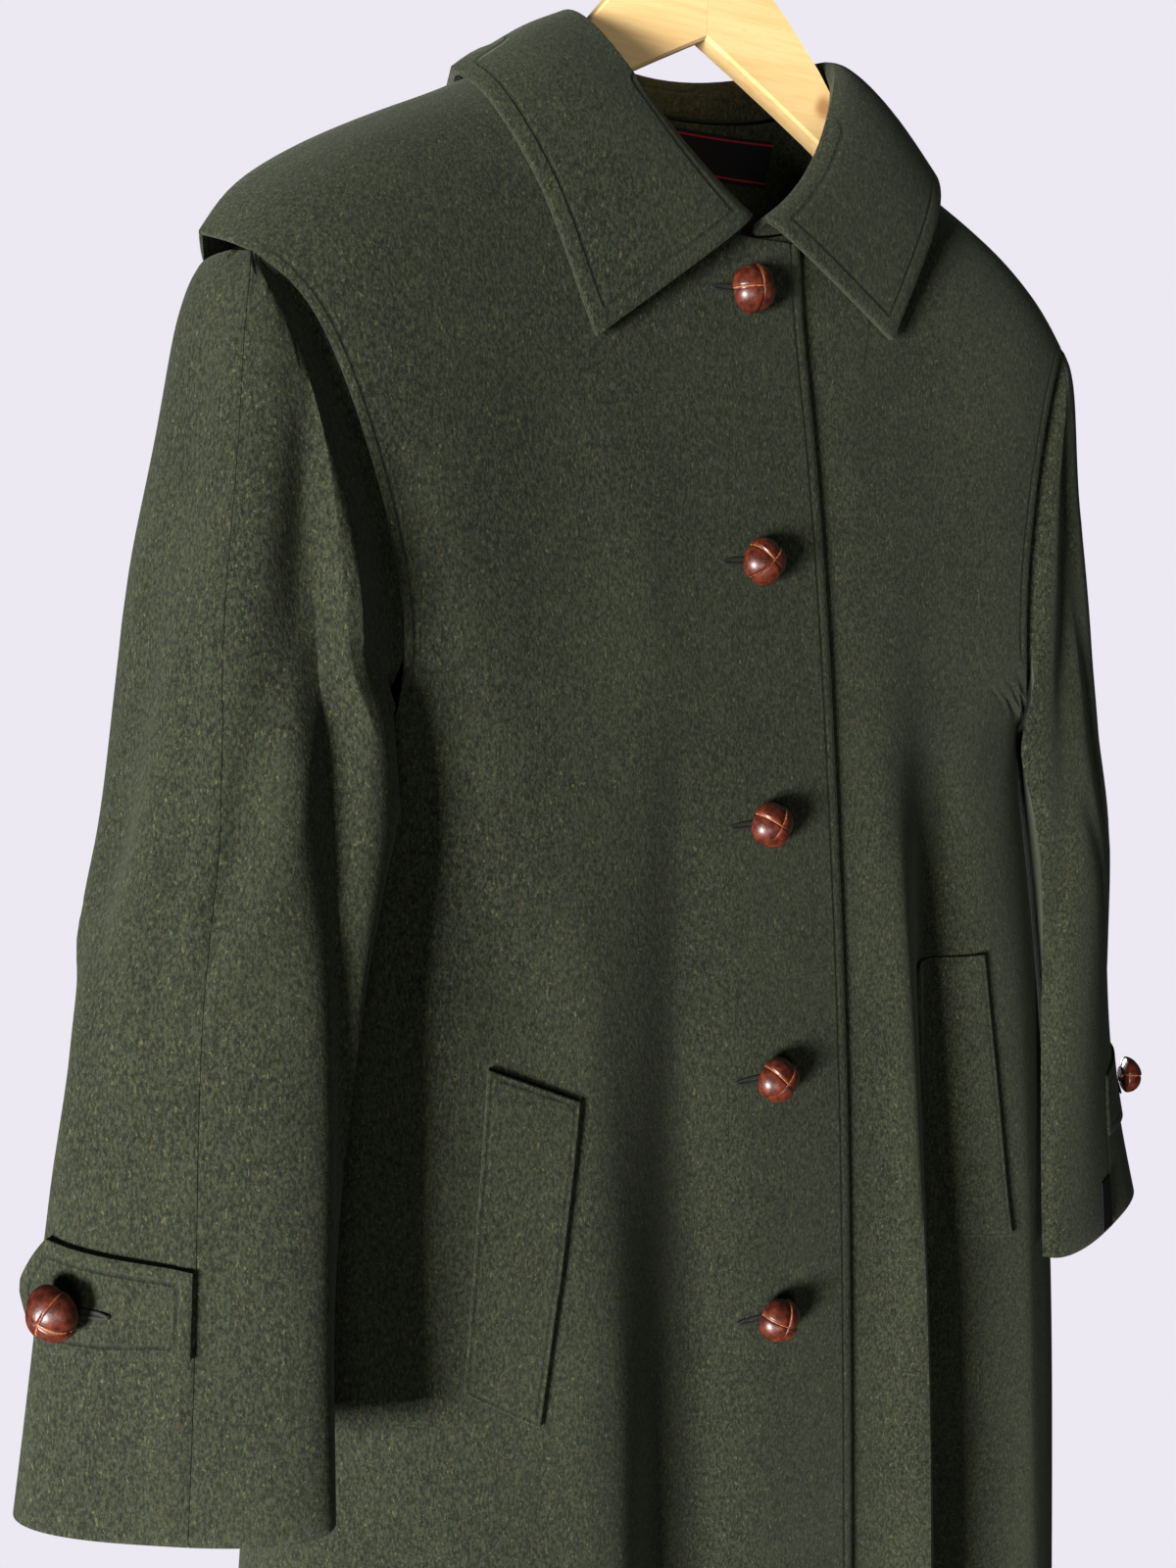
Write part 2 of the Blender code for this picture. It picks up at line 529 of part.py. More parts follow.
def ring_row(z, face, side):
    """A row from the outer seam to the armhole or the under seam."""
    reach = sleeve_column("front" if face < 0 else "back", z, side)
    drop = sleeve_column("drop", z, side)
    seam = sleeve_column("seam", z, side)
    knee = min(90.0, 0.8 * reach) if face < 0 else 0.8 * reach
    row = []
    for step in range(SLEEVE_STEPS + 1):
        share = step / SLEEVE_STEPS
        turn = knee * share / 0.8 if share < 0.8 else knee + (reach - knee) * (share - 0.8) / 0.2
        point = sleeve_point(z, -face * turn + seam * (1 - share), side)
        point[2] -= drop * share * share
        row.append(point)
    row = np.array(row)
    shares = np.linspace(0, 1, SLEEVE_STEPS + 1)
    if reach < 179:
        end = armhole_end(row[-1, 2], face, side)
        start = 0.55 + 0.25 * float(ramp(-z, 0.410, 0.445))
        row += ramp(shares, start, 1.0)[:, None] * (end - row[-1]) * (1, 1, 0)
        row = tuck_under(row, side)
    if z <= ARM_TOP:
        gap = 0.004 + 0.002 * float(1 - ramp(-z, 0.50, 0.56))
        for step in range(SLEEVE_STEPS + 1):
            if shares[step] > 0.45:
                row[step] = clear_of_body(row[step], side, gap * float(ramp(shares[step], 0.3, 0.8)))
    row[:, 0] *= side
    return row


def tuck_under(row, side):
    """Keeps a sleeve's head beneath the shoulder panels that hang over it."""
    x, z = row[:, 0], row[:, 2]
    beyond = x - armhole_x(z, side)
    inside = CLOTH + UNDER + 0.0015 - 1.1 * np.clip(beyond - 0.004, 0, None)
    inside = inside - 0.03 * ramp(-z, 0.425, 0.450)
    for face in (-1, 1):
        limit = body_y(side * np.minimum(x, TIP_X), z, face, side) - face * inside
        row[:, 1] = np.maximum(row[:, 1], limit) if face < 0 else np.minimum(row[:, 1], limit)
    return row


def sleeve_rows(side):
    return HEAD_ROWS + tuple(ARM_TOP + (CUFF_Z[side] - ARM_TOP) * share for share in ARM_ROWS)


def sleeves(finish):
    """Each sleeve is a front and a back strip, joined along the outside and under the arm."""
    for side in (RIGHT, LEFT):
        name = "right" if side == RIGHT else "left"
        closed = np.array(sleeve_rows(side)) < UNDERARM_Z
        front = np.array([sleeve_row(z, -1, side) for z in sleeve_rows(side)])
        back = np.array([sleeve_row(z, 1, side) for z in sleeve_rows(side)])
        outs = []
        for strip, other, sign in ((front, back, side), (back, front, -side)):
            beyond = np.where(closed[:, None], other[:, -2], 2 * strip[:, -1] - strip[:, -2])
            outs.append(normals(strip, left=other[:, 1], right=beyond) * sign)
        first_closed = int(np.argmax(closed))
        share_normals(outs[0][:, 0], outs[1][:, 0])
        share_normals(outs[0][first_closed:, -1], outs[1][first_closed:, -1])
        for label, strip, out in (("front", front, outs[0]), ("back", back, outs[1])):
            inner = strip - out * CLOTH
            outer = strip.copy()
            pull_in(outer, inner, "first_col")
            for sheet in (outer, inner):
                way = sheet[closed, -2] - sheet[closed, -1]
                sheet[closed, -1] += SEAM * way / np.linalg.norm(way, axis=1, keepdims=True)
            wall(f"sleeve_{name}_{label}", outer, inner, finish)


def neck_edge(side):
    """The panels' own neck edge, from the centre front over the shoulder to the centre back."""
    start = lap_edge if side == RIGHT else (lambda z: UNDERLAP)
    front = body_row(0.0, -1, side, start)[LAP_STEPS:LAP_STEPS + NECK_STEPS + 1]
    back = body_row(0.0, 1, side, None)[:NECK_STEPS + 1]
    return np.concatenate([front, back[-2::-1]])


def over_body(point, side, lift):
    """Moves a point of the collar out of the body until it is lift clear of the panels."""
    middle = float(along(BODY, "z", "side", point.z))
    face = -1 if point.y < middle else 1
    for _ in range(80):
        low = min(point.z, float(ridge_z(point.x)) - 0.001)
        surface_y = float(body_y(point.x, low, face, side))
        slope = (float(body_y(point.x, low - 0.001, face, side)) - surface_y) / 0.001
        clear = face * (point.y - surface_y) / math.hypot(1, slope) + max(0.0, point.z - low - 0.001)
        if clear > lift:
            break
        lean = min(1.0, abs(point.y - middle) / 0.045)
        point = point + Vector((0, face * lean, 1 - lean)).normalized() * 0.0004
    return point


def collar_station(turn, side):
    """The collar's section at one place round the neck: seam, roll and edge of the fall."""
    edge_line = neck_edge(side)
    place = turn / 90 * NECK_STEPS
    seam = Vector([float(np.interp(place, range(len(edge_line)), edge_line[:, k])) for k in range(3)])
    shift = Vector((COLLAR_SHIFT * math.sin(math.radians(turn) / 2) ** 2, 0, 0))
    read = {key: float(along(COLLAR, "turn", key, turn)) for key in COLLAR if key != "turn"}
    roll = Vector((side * read["roll_x"], read["roll_y"], read["roll_z"])) + shift
    edge = Vector((side * read["edge_x"], read["edge_y"], read["edge_z"])) + shift
    roll.z += side * read["roll_tilt"] - 0.003
    edge.z += side * read["edge_tilt"]
    return seam, roll, edge, read["belly"]


def square_to(way, line):
    """The part of a direction that is square to a line."""
    return (way - line * way.dot(line)).normalized()


def bezier(a, b, c, d, t):
    return a * (1 - t) ** 3 + b * 3 * t * (1 - t) ** 2 + c * 3 * t * t * (1 - t) + d * t ** 3


def collar_section(turn, side):
    seam, roll, edge, belly = collar_station(turn, side)
    line = (collar_station(min(turn + 4, 180), side)[1] - collar_station(max(turn - 4, 0), side)[1])
    line = Vector((1, 0, 0)) if turn == 180 else line.normalized()
    away = Vector((edge.x - roll.x, edge.y - roll.y, 0)).normalized()
    away = away + Vector((0, -0.8 * max(0.0, math.cos(math.radians(turn))), 0))
    away = square_to(away, line)
    up = square_to(Vector((0, 0, 1)), line)
    rise = (roll - seam).length
    start = seam + square_to(roll - seam, line) * 0.0012
    stand = [bezier(start, start + up * rise * 0.4, roll - away * 0.004 - up * 0.003, roll, t)
             for t in STAND_SHARES]
    outward = (away + up).normalized()
    first = roll + away * 0.010 + outward * belly * 0.3
    second = roll + (edge - roll) * 0.55 + outward * belly
    fall = [over_body(bezier(roll, first, second, edge, t), side, 0.0035) for t in FALL_SHARES]
    return stand + fall[1:]


def collar(finish):
    """Stand and fall of the collar, cut as one and folded over along the roll."""
    right = [collar_section(turn, RIGHT) for turn in COLLAR_TURNS]
    left = [collar_section(turn, LEFT) for turn in COLLAR_TURNS]
    grid = np.array([[tuple(point) for point in section] for section in right + left[-2::-1]])
    out = normals(grid)
    wall("collar", grid - out * LEAF, grid, finish)


def surface(item):
    """What a piece that lies on another is set on: the faces of that other piece."""
    graph = bpy.context.evaluated_depsgraph_get()
    return BVHTree.FromObject(item, graph)


def laid_on(tree, x, z, lift):
    """The point lift metres in front of a panel, straight over x and z, and the panel's normal there."""
    spot, normal, _, _ = tree.ray_cast(Vector((x, -1, z)), Vector((0, 1, 0)))
    return spot + normal * lift, normal


def welts(fronts, finish):
    """The slanted pocket openings are covered by welts: a strip of two layers on each front."""
    for side, corners in WELTS.items():
        tree = surface(fronts[side])
        a, b, c, d = [np.array(corner) for corner in corners]
        inner, outer = [], []
        for down in np.linspace(0, 1, 14):
            left, right = a + (d - a) * down, b + (c - b) * down
            row = [left + (right - left) * across for across in np.linspace(0, 1, 7)]
            inner.append([tuple(laid_on(tree, x, z, LAID_LEAF)[0]) for x, z in row])
            outer.append([tuple(laid_on(tree, x, z, LAID_LEAF + LEAF * 0.8)[0]) for x, z in row])
        wall("welt_right" if side == RIGHT else "welt_left", np.array(outer), np.array(inner), finish)


def button(name, spot, axis, finish):
    """A dome of woven leather on a short foot."""
    mesh = bmesh.new()
    profile = [(0.0, 0.0), (BUTTON_R * 0.45, 0.0), (BUTTON_R * 0.5, BUTTON_FOOT),
               (BUTTON_R * 0.93, BUTTON_FOOT * 1.15)]
    for step in range(7):
        angle = math.pi / 2 * step / 6
        profile.append((BUTTON_R * math.cos(angle), BUTTON_FOOT * 1.7 + BUTTON_RISE * math.sin(angle)))
    points = [mesh.verts.new((radius, 0, height)) for radius, height in profile]
    edges = [mesh.edges.new(pair) for pair in zip(points, points[1:])]
    bmesh.ops.spin(mesh, geom=points + edges, cent=(0, 0, 0), axis=(0, 0, 1), angle=math.tau,
                   steps=BUTTON_SIDES, use_merge=True)
    bmesh.ops.remove_doubles(mesh, verts=mesh.verts, dist=0.00005)
    turn = Vector((0, 0, 1)).rotation_difference(axis).to_matrix().to_4x4()
    bmesh.ops.transform(mesh, matrix=Matrix.Translation(spot) @ turn, verts=mesh.verts)
    finish_mesh(name, mesh, finish)


def front_buttons(front, finish):
    tree = surface(front)
    for number, z in enumerate(BUTTON_Z, start=1):
        spot, normal = laid_on(tree, 0.0, z, 2 * GAP)
        button(f"button_{number}", spot, normal, finish)


def ring_place(side, z, reach, way, bend):
    """The place and outward normal a length reach round the sleeve's ring from its outer seam,
    to the front (way 1) or the back (way -1); beyond the length bend it goes straight on."""
    seam = sleeve_column("seam", z, side)
    points = np.array([sleeve_point(z, seam + way * turn, side)[:2] for turn in np.arange(0.0, 100.0, 2.0)])
    steps = np.linalg.norm(np.diff(points, axis=0), axis=1)
    lengths = np.concatenate([[0.0], np.cumsum(steps)])
    here = min(reach, bend)
    k = min(int(np.searchsorted(lengths, here, side="right")) - 1, len(steps) - 1)
    heading = (points[k + 1] - points[k]) / steps[k]
    spot = points[k] + heading * (reach - lengths[k])
    return spot, np.array([heading[1], -heading[0]]) * -way


def tab_place(side, share, across, lift):
    """A point of a tab: share runs from its seam end to its point, across from edge to edge."""
    rise = float(along(TAB_HALF, "share", "half", share)) * across
    z = TAB_Z[side] - TAB_FALL * share + rise
    spot, normal = ring_place(side, z, share * TAB_LONG, -1, TAB_BEND)
    spot = spot + normal * lift
    return Vector((side * spot[0], spot[1], z)), Vector((side * normal[0], normal[1], 0))


def tabs(finish, leather):
    """Each sleeve's tab is sewn in the outer seam and buttoned at the back of the sleeve."""
    for side in (RIGHT, LEFT):
        name = "right" if side == RIGHT else "left"
        sheets = [np.array([[tuple(tab_place(side, share, across, lift)[0]) for share in TAB_SHARES]
                            for across in (1, 0.5, 0, -0.5, -1)])
                  for lift in (LAID_LEAF + LEAF, LAID_LEAF)]
        wall(f"tab_{name}", sheets[0], sheets[1], finish)
        place, normal = tab_place(side, TAB_BUTTON / TAB_LONG, 0, LAID_LEAF + LEAF + 0.0009)
        button(f"button_tab_{name}", place, normal, leather)


def board(name, side, finish):
    """One arm of the hanger, cut from a flat board and mitred at the middle."""
    sheets = []
    for face, inwards in ((BOARD_FRONT, BOARD_EDGE), (BOARD_BACK, -BOARD_EDGE)):
        rows = []
        top = "right" if side == RIGHT else "left"
        for column, drop, step in ((top, 0, 1), (top, BOARD_EDGE, 0),
                                   ("low", -BOARD_EDGE, 0), ("low", 0, 1)):
            rows.append([(side * max(x, SEAM), face + inwards * step, z - drop)
                         for x, z in zip(ARM["x"], ARM[column])])
        sheets.append(np.array(rows))
    wall(name, sheets[0], sheets[1], finish)


def hook(finish):
    """A wire hook: the rail lies against the top of its bend, at the origin."""
    ring = HOOK_R + WIRE_R
    path = []
    for step in range(21):
        angle = math.radians(200 - 250 * step / 20)
        path.append((ring * math.cos(angle), 0, -HOOK_R + ring * math.sin(angle)))
    foot = ARM["left"][0] + GAP
    path += [(0.0068, 0, foot + 0.0115), (0.0018, 0, foot + 0.0075), (0, 0, foot + 0.004), (0, 0, foot)]
    tube("hook", path, WIRE_R, finish)


def tube(name, path, radius, finish):
    """A round wire along a path in the XZ plane."""
    mesh = bmesh.new()
    path = [Vector(point) for point in path]
    rings = []
    for before, here, after in zip([path[0]] + path[:-1], path, path[1:] + [path[-1]]):
        heading = (after - before).normalized()
        side_way = Vector((-heading.z, 0, heading.x))
        angles = [math.tau * step / WIRE_SIDES for step in range(WIRE_SIDES)]
        rings.append([mesh.verts.new(here + side_way * radius * math.cos(angle)
                                     + Vector((0, 1, 0)) * radius * math.sin(angle)) for angle in angles])
    for one, two in zip(rings, rings[1:]):
        for step in range(WIRE_SIDES):
            after = (step + 1) % WIRE_SIDES
            mesh.faces.new((one[step], one[after], two[after], two[step]))
    mesh.faces.new(rings[0])
    mesh.faces.new(rings[-1])
    return finish_mesh(name, mesh, finish)


def neck_label(back, finish):
    """A bare woven label inside the back of the neck."""
    tree = surface(back)
    sheets = []
    for lift in (LAID, LAID + WOVEN):
        rows = []
        for down in (0.5, 0, -0.5):
            row = []
            for across in np.linspace(-0.5, 0.5, 9):
                start = Vector((NECK_LABEL["x"] + across * NECK_LABEL["wide"], -0.01,
                                NECK_LABEL["z"] + down * NECK_LABEL["high"]))
                spot, normal, _, _ = tree.ray_cast(start, Vector((0, 1, 0)))
                row.append(tuple(spot + normal * lift))
            rows.append(row)
        sheets.append(np.array(rows))
    wall("neck_label", sheets[1], sheets[0], finish)


def cuff_label(finish):
    """A small woven label beside the left sleeve's outer seam, at the hem."""
    sheets = []
    for lift in (LAID, LAID + WOVEN):
        rows = []
        for z in np.linspace(CUFF_LABEL["top"], CUFF_LABEL["low"], 4):
            row = []
            for across in np.linspace(0, 1, 4):
                reach = CUFF_LABEL["start"] + across * CUFF_LABEL["wide"]
                spot, normal = ring_place(LEFT, z, reach, 1, 0.05)
                spot = spot + normal * lift
                row.append((spot[0], spot[1], z))
            rows.append(row)
        sheets.append(np.array(rows))
    wall("cuff_label", sheets[1], sheets[0], finish)


def main():
    clear_scene()
    loden = material("loden", LODEN, 0.95)
    leather = material("leather", LEATHER, 0.3)
    wood = material("wood", WOOD, 0.4)
    steel = material("steel", STEEL, 0.3, 1.0)
    woven = material("woven", LABEL, 0.8)
    body = body_panels(loden)
    sleeves(loden)
    collar(loden)
    welts(body, loden)
    front_buttons(body[RIGHT], leather)
    tabs(loden, leather)
    board("hanger_right", RIGHT, wood)
    board("hanger_left", LEFT, wood)
    hook(steel)
    neck_label(body["back"], woven)
    cuff_label(woven)


main()
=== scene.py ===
"""The looks of a loden coat on a wooden hanger: cloth, stitching, leather buttons, wood and light."""
import math

import bmesh
import bpy
import numpy as np
from mathutils import Matrix, Vector
from mathutils.bvhtree import BVHTree
from mathutils.kdtree import KDTree


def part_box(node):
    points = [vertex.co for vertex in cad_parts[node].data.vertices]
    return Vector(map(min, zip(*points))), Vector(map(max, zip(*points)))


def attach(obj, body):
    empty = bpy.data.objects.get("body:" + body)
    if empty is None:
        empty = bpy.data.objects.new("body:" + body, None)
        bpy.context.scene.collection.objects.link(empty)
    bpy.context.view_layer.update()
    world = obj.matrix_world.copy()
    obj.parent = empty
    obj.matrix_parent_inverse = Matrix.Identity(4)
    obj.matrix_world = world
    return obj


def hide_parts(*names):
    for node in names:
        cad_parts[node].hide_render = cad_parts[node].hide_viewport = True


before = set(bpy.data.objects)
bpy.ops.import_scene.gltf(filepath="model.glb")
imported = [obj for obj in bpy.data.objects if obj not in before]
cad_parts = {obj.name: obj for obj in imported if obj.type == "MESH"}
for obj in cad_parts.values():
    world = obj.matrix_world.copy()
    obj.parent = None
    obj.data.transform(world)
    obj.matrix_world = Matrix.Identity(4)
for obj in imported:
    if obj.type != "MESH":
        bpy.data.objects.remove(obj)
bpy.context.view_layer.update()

# The camera stands to the left of the coat's front at chest height, close enough that the near
# sleeve is large, and looks a little down.
CAMERA_PLACE = Vector((-0.42952, -0.62448, -0.36492))
CAMERA_YAW = math.radians(-30.4)
CAMERA_PITCH = math.radians(10.4)
CAMERA_ROLL = math.radians(0.4)
camera_data = bpy.data.cameras.new("camera")
camera_data.sensor_fit = "VERTICAL"
camera_data.sensor_height = 36
camera_data.lens = 30.375
camera_data.clip_start = 0.02
camera = bpy.data.objects.new("camera", camera_data)
bpy.context.collection.objects.link(camera)
behind = Vector((math.sin(CAMERA_YAW) * math.cos(CAMERA_PITCH),
                 -math.cos(CAMERA_YAW) * math.cos(CAMERA_PITCH), math.sin(CAMERA_PITCH)))
level = Vector((math.cos(CAMERA_YAW), math.sin(CAMERA_YAW), 0))
above = behind.cross(level)
across = level * math.cos(CAMERA_ROLL) + above * math.sin(CAMERA_ROLL)
upward = above * math.cos(CAMERA_ROLL) - level * math.sin(CAMERA_ROLL)
turned = Matrix((across, upward, behind)).transposed().to_4x4()
camera.matrix_world = Matrix.Translation(CAMERA_PLACE) @ turned
bpy.context.scene.camera = camera


# The body: two fronts and a back of milled loden, cut wide. Their shoulders run out over the
# sleeves as free panels, whose edges are turned under and stitched, as is the front edge.
RIGHT, LEFT = -1, 1
MERGE = 0.00002          # joins the loose triangles of a CAD mesh
EDGE_ROUND = 0.0008      # how far a turned edge of cloth is rounded
SHARP = math.radians(40)
EDGE_REACH = 0.030       # the stitched edges are measured this far into a piece
PANEL_X = 0.19           # the free shoulder edges lie outside this, between two heights
PANEL_LOW, PANEL_TOP = -0.432, -0.226
FRONT_EDGE_X = (0.030, 0.066)
FRONT_EDGE_TOP = -0.212
LODEN_DARK = (0.0010, 0.0018, 0.0008, 1)
LODEN_LIGHT = (0.0345, 0.0400, 0.0210, 1)
FLECK_YELLOW = (0.1100, 0.1050, 0.0420, 1)
FLECK_BLUE = (0.0380, 0.0500, 0.0520, 1)
FLECK_BROWN = (0.0420, 0.0240, 0.0110, 1)


def place_node(tree, kind, **settings):
    """A new shader node, with its settings and, by their names, its sockets' values."""
    made = tree.nodes.new(kind)
    for key, value in settings.items():
        if hasattr(made, key):
            setattr(made, key, value)
        else:
            made.inputs[key.replace("_", " ")].default_value = value
    return made


def new_material(name, roughness):
    finish = bpy.data.materials.new(name)
    finish.use_nodes = True
    shader = finish.node_tree.nodes["Principled BSDF"]
    shader.inputs["Roughness"].default_value = roughness
    return finish, finish.node_tree, shader


def mapped(tree, scale, turn=(0, 0, 0), source="Object"):
    """Object coordinates, stretched and turned: a small scale draws a pattern out."""
    place = tree.nodes.new("ShaderNodeTexCoord")
    mapping = place_node(tree, "ShaderNodeMapping", Scale=scale, Rotation=turn)
    tree.links.new(place.outputs[source], mapping.inputs["Vector"])
    return mapping.outputs["Vector"]


def noise_of(tree, vector, scale, detail=2.0, roughness=0.5):
    made = place_node(tree, "ShaderNodeTexNoise", Scale=scale, Detail=detail, Roughness=roughness)
    tree.links.new(vector, made.inputs["Vector"])
    return made.outputs[0]


def from_to(tree, value, low, high, to_low=0.0, to_high=1.0):
    """A smooth change from one value to another as the input goes from low to high."""
    made = place_node(tree, "ShaderNodeMapRange", interpolation_type="SMOOTHSTEP")
    for index, number in enumerate((low, high, to_low, to_high), start=1):
        made.inputs[index].default_value = number
    tree.links.new(value, made.inputs[0])
    return made.outputs[0]


def sum_of(tree, one, two, operation="ADD"):
    made = place_node(tree, "ShaderNodeMath", operation=operation)
    for index, item in enumerate((one, two)):
        if isinstance(item, (int, float)):
            made.inputs[index].default_value = item
        else:
            tree.links.new(item, made.inputs[index])
    return made.outputs[0]


def blended(tree, share, one, two):
    """A mix of two colours, each a colour or a socket."""
    made = place_node(tree, "ShaderNodeMix", data_type="RGBA")
    tree.links.new(share, made.inputs[0])
    for index, colour in ((6, one), (7, two)):
        if isinstance(colour, tuple):
            made.inputs[index].default_value = colour
        else:
            tree.links.new(colour, made.inputs[index])
    return made.outputs[2]


def bumped(tree, shader, height, distance, strength=1.0):
    made = place_node(tree, "ShaderNodeBump", Distance=distance, Strength=strength)
    tree.links.new(height, made.inputs["Height"])
    tree.links.new(made.outputs["Normal"], shader.inputs["Normal"])


def loden_material(name, stitch_at, stitch_deep=0.9):
    """Milled heather wool with a short nap brushed downwards, and a stitched line along its edges, whose
    groove is darkened with painted shade.
    """
    finish, tree, shader = new_material(name, 0.92)
    shader.inputs["Sheen Weight"].default_value = 0.10
    shader.inputs["Sheen Roughness"].default_value = 0.55
    shader.inputs["Sheen Tint"].default_value = (0.60, 0.68, 0.52, 1)
    shader.inputs["Specular IOR Level"].default_value = 0.18
    nap = mapped(tree, (1, 1, 0.50))
    fine = noise_of(tree, nap, 780, 3, 0.80)
    felt = noise_of(tree, mapped(tree, (1, 1, 0.7)), 330, 3, 0.6)
    cloud = noise_of(tree, mapped(tree, (1, 1, 0.5)), 16, 2, 0.5)
    tone = sum_of(tree, sum_of(tree, from_to(tree, fine, 0.38, 0.66), 0.70, "MULTIPLY"),
                  sum_of(tree, from_to(tree, felt, 0.25, 0.75), 0.17, "MULTIPLY"))
    tone = sum_of(tree, tone, sum_of(tree, from_to(tree, cloud, 0.30, 0.70), 0.13, "MULTIPLY"))
    colour = blended(tree, tone, LODEN_DARK, LODEN_LIGHT)
    for fleck, scale, low, share in ((FLECK_YELLOW, 720, 0.63, 0.45), (FLECK_BLUE, 640, 0.65, 0.45),
                                     (FLECK_BROWN, 560, 0.65, 0.45)):
        shifted = mapped(tree, (1, 1, 0.45), turn=(scale, 0, 0.2))
        amount = from_to(tree, noise_of(tree, shifted, scale, 2, 0.6), low, low + 0.07, 0.0, share)
        colour = blended(tree, amount, colour, fleck)
    edge = place_node(tree, "ShaderNodeAttribute", attribute_name="edge").outputs["Fac"]
    off_stitch = place_node(tree, "ShaderNodeMath", operation="ABSOLUTE")
    tree.links.new(sum_of(tree, edge, -stitch_at), off_stitch.inputs[0])
    groove = from_to(tree, off_stitch.outputs[0], 0.0002, 0.0017, 0.0, 1.0)
    lit_edge = from_to(tree, edge, 0.0, 0.0016, 0.0, 1.0)
    # painted shade: the base colour is darkened toward LODEN_DARK in the stitched groove, as deeper stitching
    # darkens more
    colour = blended(tree, from_to(tree, groove, 0, 1, 1 - 0.4 * stitch_deep, 1.0), LODEN_DARK, colour)
    tree.links.new(colour, shader.inputs["Base Color"])
    height = sum_of(tree, sum_of(tree, fine, 0.30, "MULTIPLY"), sum_of(tree, felt, 0.35, "MULTIPLY"))
    height = sum_of(tree, height, sum_of(tree, groove, stitch_deep, "MULTIPLY"))
    height = sum_of(tree, height, sum_of(tree, lit_edge, 0.2, "MULTIPLY"))
    bumped(tree, shader, height, 0.0011)
    return finish


def rounded_copy(node, name, steps=2):
    """A merged copy of a CAD solid as a new object, rounded by subdivision with its rims kept."""
    mesh = bmesh.new()
    mesh.from_mesh(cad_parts[node].data)
    bmesh.ops.remove_doubles(mesh, verts=mesh.verts, dist=MERGE)
    bmesh.ops.join_triangles(mesh, faces=mesh.faces, angle_face_threshold=math.radians(35),
                             angle_shape_threshold=math.pi)
    crease = mesh.edges.layers.float.new("crease_edge")
    for edge in mesh.edges:
        if edge.calc_face_angle(0) > SHARP:
            edge[crease] = 1.0
    data = bpy.data.meshes.new(name)
    mesh.to_mesh(data)
    mesh.free()
    item = bpy.data.objects.new(name, data)
    bpy.context.collection.objects.link(item)
    rounding = item.modifiers.new("rounding", "SUBSURF")
    rounding.levels = steps
    rounding.render_levels = steps
    graph = bpy.context.evaluated_depsgraph_get()
    item.data = bpy.data.meshes.new_from_object(item.evaluated_get(graph))
    item.modifiers.clear()
    return item


def soften_rims(item):
    """Rounds the rims of a piece of cloth, and shades it smooth."""
    mesh = bmesh.new()
    mesh.from_mesh(item.data)
    rims = [edge for edge in mesh.edges if edge.calc_face_angle(0) > SHARP]
    bmesh.ops.bevel(mesh, geom=rims, offset=EDGE_ROUND, offset_type="OFFSET", affect="EDGES",
                    segments=2, profile=0.5, material=-1, clamp_overlap=True)
    for face in mesh.faces:
        face.smooth = True
    mesh.to_mesh(item.data)
    mesh.free()


def measure_edges(item, stitched):
    """Stores how far each point lies from the stitched rims, for the line of stitching."""
    mesh = bmesh.new()
    mesh.from_mesh(item.data)
    spots = []
    for edge in mesh.edges:
        if edge.calc_face_angle(0) > SHARP and stitched(edge.verts[0].co) and stitched(edge.verts[1].co):
            a, b = (vert.co for vert in edge.verts)
            count = max(1, int((b - a).length / 0.001))
            spots += [a.lerp(b, step / count) for step in range(count + 1)]
    mesh.free()
    tree = KDTree(max(1, len(spots)))
    for index, spot in enumerate(spots):
        tree.insert(spot, index)
    tree.balance()
    values = np.full(len(item.data.vertices), EDGE_REACH)
    if spots:
        for index, vert in enumerate(item.data.vertices):
            values[index] = min(EDGE_REACH, tree.find(vert.co)[2])
    item.data.attributes.new("edge", "FLOAT", "POINT").data.foreach_set("value", values)


def press_folds(item, folds, place, way, sunk=0.0):
    """Presses soft ridges and troughs in: each runs between two places, uneven along its length."""
    points = np.zeros(len(item.data.vertices) * 3)
    item.data.vertices.foreach_get("co", points)
    points = points.reshape(-1, 3)
    flat = place(points)
    height = np.full(len(points), -sunk)
    for start, end, wide, high in folds:
        start, end = np.array(start), np.array(end)
        run = end - start
        share = np.clip(((flat - start) @ run) / (run @ run), 0, 1)
        wander = 0.25 * wide * np.sin(share * 5 + start[0] * 90)
        gap = np.linalg.norm(flat - start - share[:, None] * run, axis=1) + wander
        taper = np.sin(np.pi * np.clip(share * 0.92 + 0.04, 0, 1)) ** 0.7
        height += high * taper * np.exp(-(gap / wide) ** 2)
    points += way(points) * height[:, None]
    item.data.vertices.foreach_set("co", points.ravel())
    item.data.update()


def dress(node, name, finish, flat, area, rests_on, stitched=None, folds=(), place=None, way=None, sunk=0.0):
    """One piece of cloth: the CAD solid's form, its creases, its rounded rims and its finish."""
    item = rounded_copy(node, name)
    if folds:
        press_folds(item, folds, place, way, sunk)
    measure_edges(item, stitched or (lambda spot: False))
    soften_rims(item)
    item.data.materials.clear()
    item.data.materials.append(finish)
    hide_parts(node)
    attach(item, "root")
    return item


def in_front_view(points):
    return points[:, (0, 2)]


def forwards(points):
    return np.tile((0.0, -1.0, 0.0), (len(points), 1))


def backwards(points):
    return np.tile((0.0, 1.0, 0.0), (len(points), 1))


def shoulder_edge(spot):
    """The free edge of a shoulder panel, over the sleeve."""
    return abs(spot.x) > PANEL_X and PANEL_LOW < spot.z < PANEL_TOP


def free_edge(spot):
    """The stitched edges of a front: its free shoulder edge and its front edge."""
    front = FRONT_EDGE_X[0] < spot.x < FRONT_EDGE_X[1] and spot.z < FRONT_EDGE_TOP
    return shoulder_edge(spot) or front


